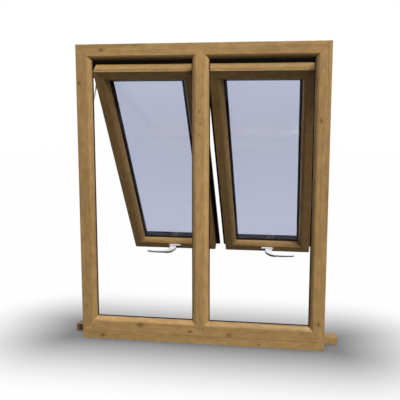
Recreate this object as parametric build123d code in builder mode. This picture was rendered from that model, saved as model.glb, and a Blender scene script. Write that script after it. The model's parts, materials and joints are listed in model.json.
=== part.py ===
from build123d import *
import os
from math import atan2, cos, degrees, radians, sin, tan

# A two-light stormproof timber window, seen from the room: X runs to the right, Y runs outdoors
# and Z runs up. The origin is on the underside of the sill, midway along the frame and midway
# through its depth. Both sashes hang at their heads on four-bar stays and are held part open.
# All sizes are in millimetres.

# The frame
FRAME_WIDTH = 1045
FRAME_HEIGHT = 1262
FRAME_DEPTH = 80
FRAME_FLAT = 47
BOTTOM_RAIL_FLAT = 45
MULLION_FLAT = 36
MOULDING_WIDTH = 16.5
MOULDING_DEPTH = 16
MOULDING_RADIUS = 27
STOP_DEPTH = 24
ARRIS = 1.5

# The rubber weather seal let into the stop
SEAL_GROOVE_WIDTH = 3
SEAL_GROOVE_DEPTH = 5
SEAL_GROOVE_INSET = 5
SEAL_PROUD = 3.5
SEAL_BULGE = 5
SEAL_ROUNDING = 1.5

# The sill
SILL_THICKNESS = 35
SILL_DEPTH = 150
SILL_HORN = 58
SILL_SUNK = 4
SILL_SLOPE = 5
SILL_NOSING_RADIUS = 5
DRIP_GROOVE_RADIUS = 3.5
DRIP_GROOVE_INSET = 15

# The sashes
SASH_GAP = 9.75
SASH_BOTTOM_GAP = 8
SASH_SEAL_GAP = 2
SASH_FLAT = 38
SASH_MOULDING_WIDTH = 19
SASH_MOULDING_DEPTH = 24
SASH_MOULDING_RADIUS = 34
GLASS_NIB = 1
SASH_CORE = 57.5
LIP_REACH = 18
LIP_THICKNESS = 13
LIP_ARRIS = 3
LIP_SEAL_THICKNESS = 2
LIP_SEAL_MARGIN = 0.5
OPEN_ANGLE = 36.5
SASH_DROP = 52.8
SASH_OUTWARD = 23

# The sealed units and their beads
GLASS_COVER = 11
GLASS_CLEARANCE = 3
PANE_THICKNESS = 4
PANE_SPACE = 16
SPACER_HEIGHT = 18
SPACER_INSET = 0.5
BEAD_SETBACK = 2.5
BEAD_UPSTAND = 6
BEAD_SPLAY = 24

# The four-bar stays in the gaps beside the sashes
STAY_DEPTH = 30
STAY_WIDTH = 18
STAY_PLATE = 2.5
STAY_CORNER = 4.5
TRACK_WEB = 1.6
TRACK_FLANGE = 1.6
TRACK_HEIGHT = 3.4
TRACK_TOP_GAP = 8
TRACK_TAIL = 28
ARM_WIDTH = 15
ARM_CLEARANCE = 0.4
SHORT_ARM_SEAT = 35
LONG_ARM_SEAT = 75
RIVET_RADIUS = 4
SASH_BAR_TOP = 12
SASH_BAR_LENGTH = 160

# The handles
HANDLE_HEIGHT = 21
HANDLE_PLATE_LENGTH = 64
HANDLE_PLATE_WIDTH = 22
HANDLE_PLATE_THICKNESS = 9
HANDLE_PLATE_CORNER = 9
HANDLE_PLATE_ROUNDING = 2.5
COLLAR_RADIUS = 8.5
COLLAR_HEIGHT = 9.8
SPINDLE_RADIUS = 4
SPINDLE_CLEARANCE = 0.3
NECK_OFFSET = 9
NECK_LENGTH = 34
NECK_WIDTH = 18
NECK_RISE = 12
NECK_LEAN = 84
BEND_REACH = 18.5
BEND_STANDOFF = 35.5
BEND_LEAN = 68
BEND_THICKNESS = 24
ELBOW_REACH = 32
ELBOW_STANDOFF = 43.5
ELBOW_LEAN = 40
ELBOW_THICKNESS = 14
GRIP_REACH = 52
GRIP_STANDOFF = 46
GRIP_THICKNESS = 7.5
GRIP_WIDTH = 15
GRIP_BOW = 1.5
LEVER_LENGTH = 143
LEVER_TIP_WIDTH = 11
LEVER_TIP_LEAN = -5
LEVER_TIP_DROP = 2.5
LEVER_ROUNDING = 3
LEVER_TIP_ROUNDING = 2

# The bolt bar in each sash's bottom edge and its keeps on the frame
BOLT_BAR_LENGTH = 330
BOLT_BAR_WIDTH = 16
BOLT_BAR_THICKNESS = 2.5
BOLT_BAR_DEPTH = 24
CAM_RADIUS = 4
CAM_HEIGHT = 3.5
CAM_SPREAD = 250
KEEP_LENGTH = 42
KEEP_WIDTH = 17
KEEP_THICKNESS = 2
KEEP_HOOK = 5

BIG = 4 * FRAME_HEIGHT
RIGHT = Vector(1, 0, 0)
UP = Vector(0, 0, 1)
OUT = Vector(0, 1, 0)

# Places worked out from the sizes above
inner_face = -FRAME_DEPTH / 2
frame_nose = FRAME_FLAT + MOULDING_WIDTH
mullion_half = MULLION_FLAT / 2
mullion_nose = mullion_half + MOULDING_WIDTH
rail_base = SILL_THICKNESS
rail_top = rail_base + BOTTOM_RAIL_FLAT
light_width = FRAME_WIDTH / 2 - FRAME_FLAT - mullion_half
sash_width = light_width - 2 * SASH_GAP
sash_height = FRAME_HEIGHT - FRAME_FLAT - SASH_GAP - rail_top - SASH_BOTTOM_GAP
sash_centre = mullion_half + SASH_GAP + sash_width / 2
closed_depth = STOP_DEPTH + SASH_SEAL_GAP
closed_top = FRAME_HEIGHT - FRAME_FLAT - SASH_GAP
sash_sight = SASH_FLAT + SASH_MOULDING_WIDTH
sash_rebate = sash_sight - GLASS_COVER
sash_thickness = SASH_CORE + LIP_THICKNESS
glass_seat = SASH_MOULDING_DEPTH + GLASS_NIB
glass_edge = sash_rebate + GLASS_CLEARANCE
unit_thickness = 2 * PANE_THICKNESS + PANE_SPACE
bar_level = SASH_GAP - STAY_PLATE

sash_up = Vector(0, -sin(radians(OPEN_ANGLE)), cos(radians(OPEN_ANGLE)))
sash_out = Vector(0, cos(radians(OPEN_ANGLE)), sin(radians(OPEN_ANGLE)))
sash_head = Vector(0, inner_face + closed_depth + SASH_OUTWARD, closed_top - SASH_DROP)


def frame_point(across, height, depth):
    """A point by its distances from the middle, above the sill's underside and behind the room face."""
    return Vector(across, inner_face + depth, height)


def sash_point(centre, across, height, depth):
    """A point on an open sash, from its bottom edge, its middle and its room face."""
    return sash_head + RIGHT * (centre + across) - sash_up * (sash_height - height) + sash_out * depth


def run_plane(start, inward, outward):
    """The plane of a member's section: x goes in from its outer edge and y goes outdoors."""
    return Plane(origin=start, x_dir=inward, z_dir=inward.cross(outward))


def face_plane(origin, outward):
    """A plane seen from the room: x goes right and y goes up the window."""
    return Plane(origin=origin, x_dir=RIGHT, z_dir=-outward)


def frame_edge(flat, side):
    """Half a frame member's section: flat face, moulding, stop with its seal groove, and rebate."""
    nose = flat + MOULDING_WIDTH
    groove = nose - SEAL_GROOVE_INSET
    Line((0, 0), (side * flat, 0))
    RadiusArc((side * flat, 0), (side * nose, MOULDING_DEPTH), -side * MOULDING_RADIUS)
    Polyline(
        (side * nose, MOULDING_DEPTH),
        (side * nose, STOP_DEPTH),
        (side * groove, STOP_DEPTH),
        (side * groove, STOP_DEPTH - SEAL_GROOVE_DEPTH),
        (side * (groove - SEAL_GROOVE_WIDTH), STOP_DEPTH - SEAL_GROOVE_DEPTH),
        (side * (groove - SEAL_GROOVE_WIDTH), STOP_DEPTH),
        (side * flat, STOP_DEPTH),
        (side * flat, FRAME_DEPTH),
        (0, FRAME_DEPTH),
    )


def mitred_ends(length, flat, start_flat, end_flat, notched):
    """A frame member's face, its length along y, mitred at both ends and notched for the mullion."""
    m = MOULDING_WIDTH
    middle = length / 2
    notch = [
        (flat + m, middle + mullion_nose),
        (flat, middle + mullion_half),
        (flat - mullion_half, middle),
        (flat, middle - mullion_half),
        (flat + m, middle - mullion_nose),
    ]
    Polyline(
        (0, 0),
        (0, length),
        (flat, length - end_flat),
        (flat + m, length - end_flat - m),
        *(notch if notched else []),
        (flat + m, start_flat + m),
        (flat, start_flat),
        close=True,
    )


def frame_member(start, inward, length, flat, start_flat, end_flat, notched=False):
    """One side of the frame, run from its moulded section and cut to its mitres."""
    with BuildPart() as member:
        with BuildSketch(run_plane(start, inward, OUT)) as section:
            with BuildLine():
                frame_edge(flat, 1)
                Line((0, FRAME_DEPTH), (0, 0))
            make_face()
            fillet(section.vertices().sort_by_distance((0, 0))[:1], ARRIS)
        extrude(amount=length)
        with BuildSketch(Plane(origin=start, x_dir=inward, z_dir=-OUT)):
            with BuildLine():
                mitred_ends(length, flat, start_flat, end_flat, notched)
            make_face()
        extrude(amount=BIG, both=True, mode=Mode.INTERSECT)
    return member


def mullion_post():
    """The middle post, moulded on both sides, with pointed ends that enter the head and bottom rail."""
    foot = rail_top - mullion_half
    top = FRAME_HEIGHT - FRAME_FLAT
    with BuildPart() as post:
        with BuildSketch(run_plane(frame_point(0, foot, 0), RIGHT, OUT)):
            with BuildLine():
                frame_edge(mullion_half, 1)
                frame_edge(mullion_half, -1)
            make_face()
        extrude(amount=top + mullion_half - foot)
        with BuildSketch(face_plane(frame_point(0, 0, 0), OUT)):
            with BuildLine():
                Polyline(
                    (0, foot),
                    (mullion_half, rail_top),
                    (mullion_nose, rail_top + MOULDING_WIDTH),
                    (mullion_nose, top - MOULDING_WIDTH),
                    (mullion_half, top),
                    (0, top + mullion_half),
                    (-mullion_half, top),
                    (-mullion_nose, top - MOULDING_WIDTH),
                    (-mullion_nose, rail_top + MOULDING_WIDTH),
                    (-mullion_half, rail_top),
                    close=True,
                )
            make_face()
        extrude(amount=BIG, both=True, mode=Mode.INTERSECT)
    return post


def sill_board():
    """The sill: square under the frame, weathered in front of it, with a throat below and two horns."""
    front = inner_face + FRAME_DEPTH
    nosing = inner_face + SILL_DEPTH
    half = FRAME_WIDTH / 2
    sunk = SILL_THICKNESS - SILL_SUNK
    throat = nosing - DRIP_GROOVE_INSET
    with BuildPart() as sill_part:
        with BuildSketch(Plane.YZ.offset(-half - SILL_HORN)) as section:
            with BuildLine():
                Polyline(
                    (throat - DRIP_GROOVE_RADIUS, 0),
                    (inner_face, 0),
                    (inner_face, SILL_THICKNESS),
                    (front, SILL_THICKNESS),
                    (front, sunk),
                    (nosing, sunk - SILL_SLOPE),
                    (nosing, 0),
                    (throat + DRIP_GROOVE_RADIUS, 0),
                )
                ThreePointArc(
                    (throat + DRIP_GROOVE_RADIUS, 0),
                    (throat, DRIP_GROOVE_RADIUS),
                    (throat - DRIP_GROOVE_RADIUS, 0),
                )
            make_face()
            fillet(section.vertices().sort_by_distance((nosing, sunk - SILL_SLOPE))[:1], SILL_NOSING_RADIUS)
        extrude(amount=FRAME_WIDTH + 2 * SILL_HORN)
        with BuildSketch(Plane.XY):
            with Locations((half, front), (-half - SILL_HORN, front)):
                Rectangle(SILL_HORN, FRAME_DEPTH, align=(Align.MIN, Align.MAX))
        extrude(amount=SILL_THICKNESS, mode=Mode.SUBTRACT)
    return sill_part


def ring(plane, width, height, outer, inner):
    """A four-sided ring's face; outer and inner are its edges' distances outside a rectangle."""
    with BuildSketch(plane) as face:
        Rectangle(width + 2 * outer, height + 2 * outer)
        Rectangle(width + 2 * inner, height + 2 * inner, mode=Mode.SUBTRACT)
    return face.sketch


def frame_seal(side):
    """The weather seal round one light, its stem in the stop's groove and its lip past the nose."""
    width = light_width - 2 * MOULDING_WIDTH
    foot = rail_top + MOULDING_WIDTH
    height = FRAME_HEIGHT - frame_nose - foot
    centre = side * (mullion_nose + width / 2)

    def plane_at(depth):
        return face_plane(frame_point(centre, foot + height / 2, depth), OUT)

    groove = SEAL_GROOVE_INSET + SEAL_GROOVE_WIDTH
    stop = plane_at(STOP_DEPTH)
    with BuildPart() as seal:
        extrude(ring(stop, width, height, 0, -SEAL_PROUD), amount=-SEAL_BULGE)
        holes = [wire for face in seal.faces().filter_by(Plane.XZ) for wire in face.inner_wires()]
        fillet([edge for wire in holes for edge in wire.edges()], SEAL_ROUNDING)
        extrude(ring(stop, width, height, groove, SEAL_GROOVE_INSET), amount=SEAL_GROOVE_DEPTH)
        extrude(ring(stop, width, height, groove, 0), amount=-SASH_SEAL_GAP)
    return seal


def sash_member(start, inward, length):
    """One stile or rail of a sash with its moulding, glass rebate and stormproof lip, mitred."""
    with BuildPart() as member:
        along = inward.cross(sash_out)
        with BuildSketch(run_plane(start - along * LIP_REACH, inward, sash_out)) as section:
            with BuildLine():
                Polyline(
                    (SASH_FLAT, 0),
                    (0, 0),
                    (0, SASH_CORE),
                    (-LIP_REACH, SASH_CORE),
                    (-LIP_REACH, sash_thickness),
                    (sash_rebate, sash_thickness),
                    (sash_rebate, glass_seat),
                    (sash_sight, glass_seat),
                    (sash_sight, SASH_MOULDING_DEPTH),
                )
                RadiusArc((sash_sight, SASH_MOULDING_DEPTH), (SASH_FLAT, 0), SASH_MOULDING_RADIUS)
            make_face()
            fillet(section.vertices().sort_by_distance((0, 0))[:1], ARRIS)
            fillet(section.vertices().sort_by_distance((-LIP_REACH, sash_thickness))[:1], LIP_ARRIS)
        extrude(amount=length + 2 * LIP_REACH)
        with BuildSketch(Plane(origin=start, x_dir=inward, z_dir=-sash_out)):
            with BuildLine():
                Polyline(
                    (-LIP_REACH, -LIP_REACH),
                    (-LIP_REACH, length + LIP_REACH),
                    (sash_sight, length - sash_sight),
                    (sash_sight, sash_sight),
                    close=True,
                )
            make_face()
        extrude(amount=BIG, both=True, mode=Mode.INTERSECT)
    return member


def bottom_sash_rail(start, length, centre):
    """A sash's bottom rail: a sash member with a groove in its edge for the bolt bar."""
    with BuildPart() as rail:
        add(sash_member(start, sash_up, length).part)
        with BuildSketch(edge_plane(centre, BOLT_BAR_DEPTH)):
            Rectangle(BOLT_BAR_LENGTH, BOLT_BAR_WIDTH)
        extrude(amount=-BOLT_BAR_THICKNESS, mode=Mode.SUBTRACT)
    return rail


def edge_plane(centre, depth):
    """A plane on a sash's bottom edge, facing down the window, at a depth from the sash's room face."""
    return Plane(origin=sash_point(centre, 0, 0, depth), x_dir=RIGHT, z_dir=-sash_up)


def pane(plane_at, near):
    """One sheet of the sealed unit."""
    with BuildPart() as sheet:
        with BuildSketch(plane_at(near)):
            Rectangle(sash_width - 2 * glass_edge, sash_height - 2 * glass_edge)
        extrude(amount=-PANE_THICKNESS)
    return sheet


def spacer(plane_at):
    """The bar and sealant that hold the two sheets apart round their edges."""
    plane = plane_at(glass_seat + PANE_THICKNESS)
    outer = -glass_edge - SPACER_INSET
    with BuildPart() as bar:
        extrude(ring(plane, sash_width, sash_height, outer, -glass_edge - SPACER_HEIGHT), amount=-PANE_SPACE)
    return bar


def glazing_bead(plane_at):
    """The bead outside the glass, its edge splayed to throw off water."""
    near = glass_seat + unit_thickness
    far = sash_thickness - BEAD_SETBACK
    splay_from = near + BEAD_UPSTAND
    splay = (far - splay_from) * tan(radians(BEAD_SPLAY))
    with BuildPart() as bead:
        extrude(ring(plane_at(near), sash_width, sash_height, -sash_rebate, -sash_sight), amount=near - far)
        with BuildSketch(plane_at(splay_from)):
            Rectangle(sash_width - 2 * sash_sight, sash_height - 2 * sash_sight)
        with BuildSketch(plane_at(far)):
            Rectangle(sash_width - 2 * (sash_sight - splay), sash_height - 2 * (sash_sight - splay))
        loft(mode=Mode.SUBTRACT)
    return bead


def lip_seal(plane_at):
    """The flat black seal on the room side of the stormproof lip."""
    outer = LIP_REACH - LIP_SEAL_MARGIN
    with BuildPart() as seal:
        extrude(
            ring(plane_at(SASH_CORE), sash_width, sash_height, outer, LIP_SEAL_MARGIN),
            amount=LIP_SEAL_THICKNESS,
        )
    return seal


def stay_pivots(seat):
    """A stay arm's fixed and moving pivots, as (y, z): the arm fits the sash both shut and open."""
    shut_y = inner_face + closed_depth + STAY_DEPTH
    shut_z = closed_top - seat
    moved = sash_point(0, 0, sash_height - seat, STAY_DEPTH)
    swing = moved.Y - shut_y
    fixed_z = (shut_z**2 - moved.Z**2 - swing**2) / (2 * (shut_z - moved.Z))
    return (shut_y, fixed_z), (moved.Y, moved.Z)


def stay_track(wall, side):
    """The channel screwed to the frame's rebate, from near the head to below the long arm's pivot."""
    (track_y, _), _ = stay_pivots(SHORT_ARM_SEAT)
    (_, low_pivot), _ = stay_pivots(LONG_ARM_SEAT)
    top = FRAME_HEIGHT - FRAME_FLAT - TRACK_TOP_GAP
    foot = low_pivot - TRACK_TAIL
    middle = (track_y, (top + foot) / 2)
    with BuildPart() as track:
        with BuildSketch(Plane.YZ.offset(wall)):
            with Locations(middle):
                RectangleRounded(STAY_WIDTH, top - foot, STAY_CORNER)
        extrude(amount=side * TRACK_HEIGHT)
        with BuildSketch(Plane.YZ.offset(wall + side * TRACK_WEB)):
            with Locations(middle):
                Rectangle(STAY_WIDTH - 2 * TRACK_FLANGE, top - foot)
        extrude(amount=side * TRACK_HEIGHT, mode=Mode.SUBTRACT)
    return track


def stay_arm(wall, side, seat):
    """A flat arm with a rivet in the track at one end and one against the sash bar at the other."""
    (fixed_y, fixed_z), (moved_y, moved_z) = stay_pivots(seat)
    reach = Vector(moved_y - fixed_y, moved_z - fixed_z)
    lean = degrees(atan2(reach.Y, reach.X))
    level = wall + side * (TRACK_HEIGHT + ARM_CLEARANCE)
    with BuildPart() as arm:
        with BuildSketch(Plane.YZ.offset(level)):
            with Locations(((fixed_y + moved_y) / 2, (fixed_z + moved_z) / 2)):
                SlotCenterToCenter(reach.length, ARM_WIDTH, rotation=lean)
        extrude(amount=side * STAY_PLATE)
        with BuildSketch(Plane.YZ.offset(wall + side * TRACK_WEB)):
            with Locations((fixed_y, fixed_z)):
                Circle(RIVET_RADIUS)
        extrude(amount=side * (TRACK_HEIGHT + ARM_CLEARANCE - TRACK_WEB))
        with BuildSketch(Plane.YZ.offset(level + side * STAY_PLATE)):
            with Locations((moved_y, moved_z)):
                Circle(RIVET_RADIUS)
        extrude(amount=side * (bar_level - TRACK_HEIGHT - ARM_CLEARANCE - STAY_PLATE))
    return arm


def stay_bar(wall, side):
    """The bar screwed to the edge of the sash, which both arms carry."""
    origin = sash_point(0, 0, sash_height - SASH_BAR_TOP, STAY_DEPTH)
    face = Plane(origin=(wall + side * bar_level, origin.Y, origin.Z), x_dir=sash_out, z_dir=RIGHT)
    with BuildPart() as bar:
        with BuildSketch(face):
            with Locations((0, -SASH_BAR_LENGTH / 2)):
                RectangleRounded(STAY_WIDTH, SASH_BAR_LENGTH, STAY_CORNER)
        extrude(amount=side * STAY_PLATE)
    return bar


def handle_plane(centre, height):
    """A plane over a handle's spindle, facing the room, at a height above the sash's room face."""
    return face_plane(sash_point(centre, 0, HANDLE_HEIGHT, -height), sash_out)


def handle_base(centre):
    """The plate and collar screwed to the rail, bored for the lever's pin."""
    with BuildPart() as base:
        with BuildSketch(handle_plane(centre, 0)):
            RectangleRounded(HANDLE_PLATE_LENGTH, HANDLE_PLATE_WIDTH, HANDLE_PLATE_CORNER)
        extrude(amount=HANDLE_PLATE_THICKNESS)
        front = base.faces().sort_by(Axis(sash_point(centre, 0, 0, 0), -sash_out))[-1]
        fillet(front.edges(), HANDLE_PLATE_ROUNDING)
        with BuildSketch(handle_plane(centre, 0)):
            Circle(COLLAR_RADIUS)
        extrude(amount=COLLAR_HEIGHT)
        with BuildSketch(handle_plane(centre, 0)):
            Circle(SPINDLE_RADIUS + SPINDLE_CLEARANCE)
        extrude(amount=COLLAR_HEIGHT, mode=Mode.SUBTRACT)
    return base


def lever_section(origin, side, reach, standoff, lean, thickness, width):
    """A rounded section of the lever, square to its run, which leans this far off the rail."""
    outboard = RIGHT * side
    along = outboard * cos(radians(lean)) - sash_out * sin(radians(lean))
    across = outboard * sin(radians(lean)) + sash_out * cos(radians(lean))
    middle = origin + outboard * reach - sash_out * standoff
    with BuildSketch(Plane(origin=middle, x_dir=across, z_dir=along)) as section:
        RectangleRounded(thickness, width, LEVER_ROUNDING)
    return section.sketch


def handle_lever(centre, side):
    """The cranked lever: a grip and a neck, each lofted, and a pin on the spindle."""
    foot = COLLAR_HEIGHT + SPINDLE_CLEARANCE
    neck = (
        (NECK_OFFSET, foot, 90, NECK_LENGTH, NECK_WIDTH),
        (NECK_OFFSET, foot + NECK_RISE, NECK_LEAN, NECK_LENGTH, NECK_WIDTH),
        (BEND_REACH, BEND_STANDOFF, BEND_LEAN, BEND_THICKNESS, NECK_WIDTH),
        (ELBOW_REACH, ELBOW_STANDOFF, ELBOW_LEAN, ELBOW_THICKNESS, NECK_WIDTH),
        (GRIP_REACH, GRIP_STANDOFF, 0, GRIP_THICKNESS, GRIP_WIDTH),
    )
    half_way = (GRIP_REACH + LEVER_LENGTH) / 2
    half_width = (GRIP_WIDTH + LEVER_TIP_WIDTH) / 2
    grip = (
        (GRIP_REACH, GRIP_STANDOFF, 0, GRIP_THICKNESS, GRIP_WIDTH),
        (half_way, GRIP_STANDOFF + GRIP_BOW, 0, GRIP_THICKNESS, half_width),
        (LEVER_LENGTH, GRIP_STANDOFF - LEVER_TIP_DROP, LEVER_TIP_LEAN, GRIP_THICKNESS, LEVER_TIP_WIDTH),
    )
    origin = sash_point(centre, 0, HANDLE_HEIGHT, 0)
    with BuildPart() as lever:
        loft([lever_section(origin, side, *sizes) for sizes in grip])
        tip = lever.faces().sort_by(Axis(origin, RIGHT * side))[-1]
        fillet(tip.edges(), LEVER_TIP_ROUNDING)
        loft([lever_section(origin, side, *sizes) for sizes in neck])
        with BuildSketch(handle_plane(centre, SPINDLE_CLEARANCE)):
            Circle(SPINDLE_RADIUS)
        extrude(amount=foot - SPINDLE_CLEARANCE)
    return lever


def bolt_bar(centre):
    """The bar let into the sash's bottom edge, with the two cams that it slides into the keeps."""
    with BuildPart() as bar:
        with BuildSketch(edge_plane(centre, BOLT_BAR_DEPTH)):
            Rectangle(BOLT_BAR_LENGTH, BOLT_BAR_WIDTH)
        extrude(amount=-BOLT_BAR_THICKNESS)
        with BuildSketch(edge_plane(centre, BOLT_BAR_DEPTH)):
            with GridLocations(CAM_SPREAD, 0, 2, 1):
                Circle(CAM_RADIUS)
        extrude(amount=CAM_HEIGHT)
    return bar


def keeps(centre):
    """The two hooked plates below one sash that its cams slide behind."""
    depth = closed_depth + BOLT_BAR_DEPTH
    with BuildPart() as plates:
        with BuildSketch(Plane(origin=frame_point(centre, rail_top, depth), x_dir=RIGHT, z_dir=UP)):
            with GridLocations(CAM_SPREAD, 0, 2, 1):
                Rectangle(KEEP_LENGTH, KEEP_WIDTH)
        extrude(amount=KEEP_THICKNESS)
        hook = frame_point(centre, rail_top, depth + KEEP_WIDTH / 2 - KEEP_THICKNESS / 2)
        with BuildSketch(Plane(origin=hook, x_dir=RIGHT, z_dir=UP)):
            with GridLocations(CAM_SPREAD, 0, 2, 1):
                Rectangle(KEEP_LENGTH, KEEP_THICKNESS)
        extrude(amount=KEEP_HOOK)
    return plates


pieces = {}

# The frame, round from the head: head, right jamb, bottom rail and left jamb
half_width = FRAME_WIDTH / 2
side_height = FRAME_HEIGHT - rail_base
pieces["head"] = frame_member(
    frame_point(-half_width, FRAME_HEIGHT, 0), -UP, FRAME_WIDTH, FRAME_FLAT, FRAME_FLAT, FRAME_FLAT, True
)
pieces["right_jamb"] = frame_member(
    frame_point(half_width, FRAME_HEIGHT, 0), -RIGHT, side_height, FRAME_FLAT, FRAME_FLAT, BOTTOM_RAIL_FLAT
)
pieces["bottom_rail"] = frame_member(
    frame_point(half_width, rail_base, 0), UP, FRAME_WIDTH, BOTTOM_RAIL_FLAT, FRAME_FLAT, FRAME_FLAT, True
)
pieces["left_jamb"] = frame_member(
    frame_point(-half_width, rail_base, 0), RIGHT, side_height, FRAME_FLAT, BOTTOM_RAIL_FLAT, FRAME_FLAT
)
pieces["mullion"] = mullion_post()
pieces["sill"] = sill_board()

# The two lights, each with its seal, sash, glass, stays, handle and bolt
for name, side in (("left", -1), ("right", 1)):
    centre = side * sash_centre
    left_edge = -sash_width / 2
    right_edge = sash_width / 2
    stiles = ("outer_stile", "inner_stile") if side < 0 else ("inner_stile", "outer_stile")

    def plane_at(depth):
        return face_plane(sash_point(centre, 0, sash_height / 2, depth), sash_out)

    pieces[f"{name}_frame_seal"] = frame_seal(side)
    pieces[f"{name}_sash_top_rail"] = sash_member(
        sash_point(centre, left_edge, sash_height, 0), -sash_up, sash_width
    )
    pieces[f"{name}_sash_bottom_rail"] = bottom_sash_rail(
        sash_point(centre, right_edge, 0, 0), sash_width, centre
    )
    pieces[f"{name}_sash_{stiles[0]}"] = sash_member(
        sash_point(centre, left_edge, 0, 0), RIGHT, sash_height
    )
    pieces[f"{name}_sash_{stiles[1]}"] = sash_member(
        sash_point(centre, right_edge, sash_height, 0), -RIGHT, sash_height
    )
    pieces[f"{name}_inner_pane"] = pane(plane_at, glass_seat)
    pieces[f"{name}_outer_pane"] = pane(plane_at, glass_seat + PANE_THICKNESS + PANE_SPACE)
    pieces[f"{name}_spacer"] = spacer(plane_at)
    pieces[f"{name}_glazing_bead"] = glazing_bead(plane_at)
    pieces[f"{name}_sash_seal"] = lip_seal(plane_at)
    for place, wall in (("outer", half_width - FRAME_FLAT), ("inner", mullion_half)):
        toward_sash = -side if place == "outer" else side
        pieces[f"{name}_{place}_stay_track"] = stay_track(side * wall, toward_sash)
        pieces[f"{name}_{place}_stay_bar"] = stay_bar(side * wall, toward_sash)
        with BuildPart() as arms:
            add(stay_arm(side * wall, toward_sash, SHORT_ARM_SEAT).part)
            add(stay_arm(side * wall, toward_sash, LONG_ARM_SEAT).part)
        pieces[f"{name}_{place}_stay_arms"] = arms
    pieces[f"{name}_handle_base"] = handle_base(centre)
    pieces[f"{name}_handle_lever"] = handle_lever(centre, side)
    pieces[f"{name}_bolt_bar"] = bolt_bar(centre)

with BuildPart() as frame_keeps:
    add(keeps(-sash_centre).part)
    add(keeps(sash_centre).part)
pieces["keeps"] = frame_keeps

os.makedirs("parts", exist_ok=True)
for label, piece in pieces.items():
    piece.part.label = label
    export_step(piece.part, f"parts/{label}.step")
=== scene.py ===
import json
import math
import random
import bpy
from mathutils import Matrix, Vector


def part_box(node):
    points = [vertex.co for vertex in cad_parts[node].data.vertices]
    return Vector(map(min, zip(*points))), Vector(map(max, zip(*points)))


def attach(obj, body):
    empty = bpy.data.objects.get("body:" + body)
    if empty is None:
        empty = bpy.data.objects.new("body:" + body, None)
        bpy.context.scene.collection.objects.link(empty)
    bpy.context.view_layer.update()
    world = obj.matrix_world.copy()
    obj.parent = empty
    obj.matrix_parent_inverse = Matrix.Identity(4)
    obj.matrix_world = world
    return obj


bl_info = {
    "name": "Stormproof Timber Window",
    "version": (1, 0, 0),
    "blender": (4, 5, 0),
    "location": "3D View > Sidebar > Window",
    "description": "Stains, glazes, paints and screws together a two-light stormproof window",
    "category": "Object",
}

import bmesh
import bpy
from bpy.props import FloatProperty, FloatVectorProperty, PointerProperty
from mathutils import Matrix, Vector

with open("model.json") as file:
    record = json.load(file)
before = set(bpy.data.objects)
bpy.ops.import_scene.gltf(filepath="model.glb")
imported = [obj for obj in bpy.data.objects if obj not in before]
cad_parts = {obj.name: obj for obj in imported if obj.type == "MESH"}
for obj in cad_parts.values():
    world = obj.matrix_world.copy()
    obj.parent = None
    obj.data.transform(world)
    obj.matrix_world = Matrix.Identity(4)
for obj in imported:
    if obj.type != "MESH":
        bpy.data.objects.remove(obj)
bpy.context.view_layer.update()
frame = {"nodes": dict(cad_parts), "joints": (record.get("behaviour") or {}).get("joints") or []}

# All lengths are in metres. X runs right as seen from the room, Y outdoors and Z up.
RIGHT = Vector((1, 0, 0))
OUT = Vector((0, 1, 0))
UP = Vector((0, 0, 1))
SIDES = {"left": -1, "right": 1}

# The frame's sizes, as in the CAD model
FRAME_FLAT = 0.047
RAIL_FLAT = 0.045
MULLION_HALF = 0.018
MOULDING_DEPTH = 0.016
FRAME_LOW, FRAME_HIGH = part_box("left_jamb")[0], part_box("right_jamb")[1]

# The open sashes. Each handle's spindle stands on its sash's room face, above the sash's foot.
SASH_WIDTH = 0.438
SASH_HEIGHT = 1.11725
SASH_SIGHT = 0.057
SASH_FLAT = 0.038
SASH_REBATE = 0.046
SASH_THICKNESS = 0.0705
GLASS_FACES = (0.025, 0.049)
SPINDLE_HEIGHT = 0.021
PLATE_FACE = -0.009
LEVER_DEPTH = -0.040
SASH_OUT = Vector(frame["joints"][0]["axis"])
SASH_UP = RIGHT.cross(SASH_OUT)
SPINDLES = {name: Vector(joint["pos_m"]) for name, joint in zip(SIDES, frame["joints"])}

# The sealant against each pane: how far it reaches inwards, and how far it stands off the glass
SEALANT_SECTION = (
    (-0.0003, 0.0009), (0.0004, 0.00085), (0.0014, 0.0005), (0.0024, -0.0001), (-0.0003, -0.0001),
)
FOOT_TAPE_RISE = 0.0195

# The stays: screwed tracks, riveted arms and screwed bars
STAY_DEPTH = 0.03
TRACK_WEB = 0.0016
ARM_FACES = (0.0038, 0.0063)
BAR_FACE = 0.00725
BAR_TOP = 0.012
BAR_LENGTH = 0.16
ARM_SEATS = (0.035, 0.075)
SHUT_DEPTH = -0.014
SHUT_TOP = 1.20525
RIVET_RADIUS = 0.0045
RIVET_RISE = 0.0008

# Where the screws and pins stand, from the middle of what they hold
BAR_SCREW_SHARES = (0.05, 0.27, 0.62, 0.93)
HANDLE_SCREWS = (-0.0235, 0.0235)
BOLT_DEPTH = 0.024
BOLT_SCREWS = (-0.155, -0.075, 0.0, 0.075, 0.155)
KEEP_SPREAD = 0.125
KEEP_SCREWS = (-0.014, 0.014)
KEEP_PLATE = 0.002
PIN_RADIUS = 0.0011
PIN_RISE = 0.0003

# The plug in the left sash's top rail: its place on the sash, and its turned profile
PLUG_PLACE = (0.192, SASH_HEIGHT - 0.025)
PLUG_PROFILE = ((0, 0.0005), (0.0034, 0.0005), (0.0042, 0.0001), (0.0042, -0.001), (0, -0.001))

# The studio
CAMERA_PLACE = (0.3976, -2.5754, 0.9978)
CAMERA_LENS = 56.25
CAMERA_DOWN, CAMERA_LEFT = math.radians(8.28), math.radians(8.91)
FLOOR_RADIUS = 14
FLOOR_DROP = 0.0005
LAMP_SIZE = 2.0
LAMP_AIM = (0, 0.2, 0.6)
MAIN_LIGHT_SPREAD = math.radians(20)
MAIN_LIGHT_PLACE = (2.5, -3.0, 3.6)
TOP_LAMP_PLACE = (0.5, -0.7, 3.4)
BACK_LAMP_PLACE = (-1.8, 3.2, 2.4)


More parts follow.
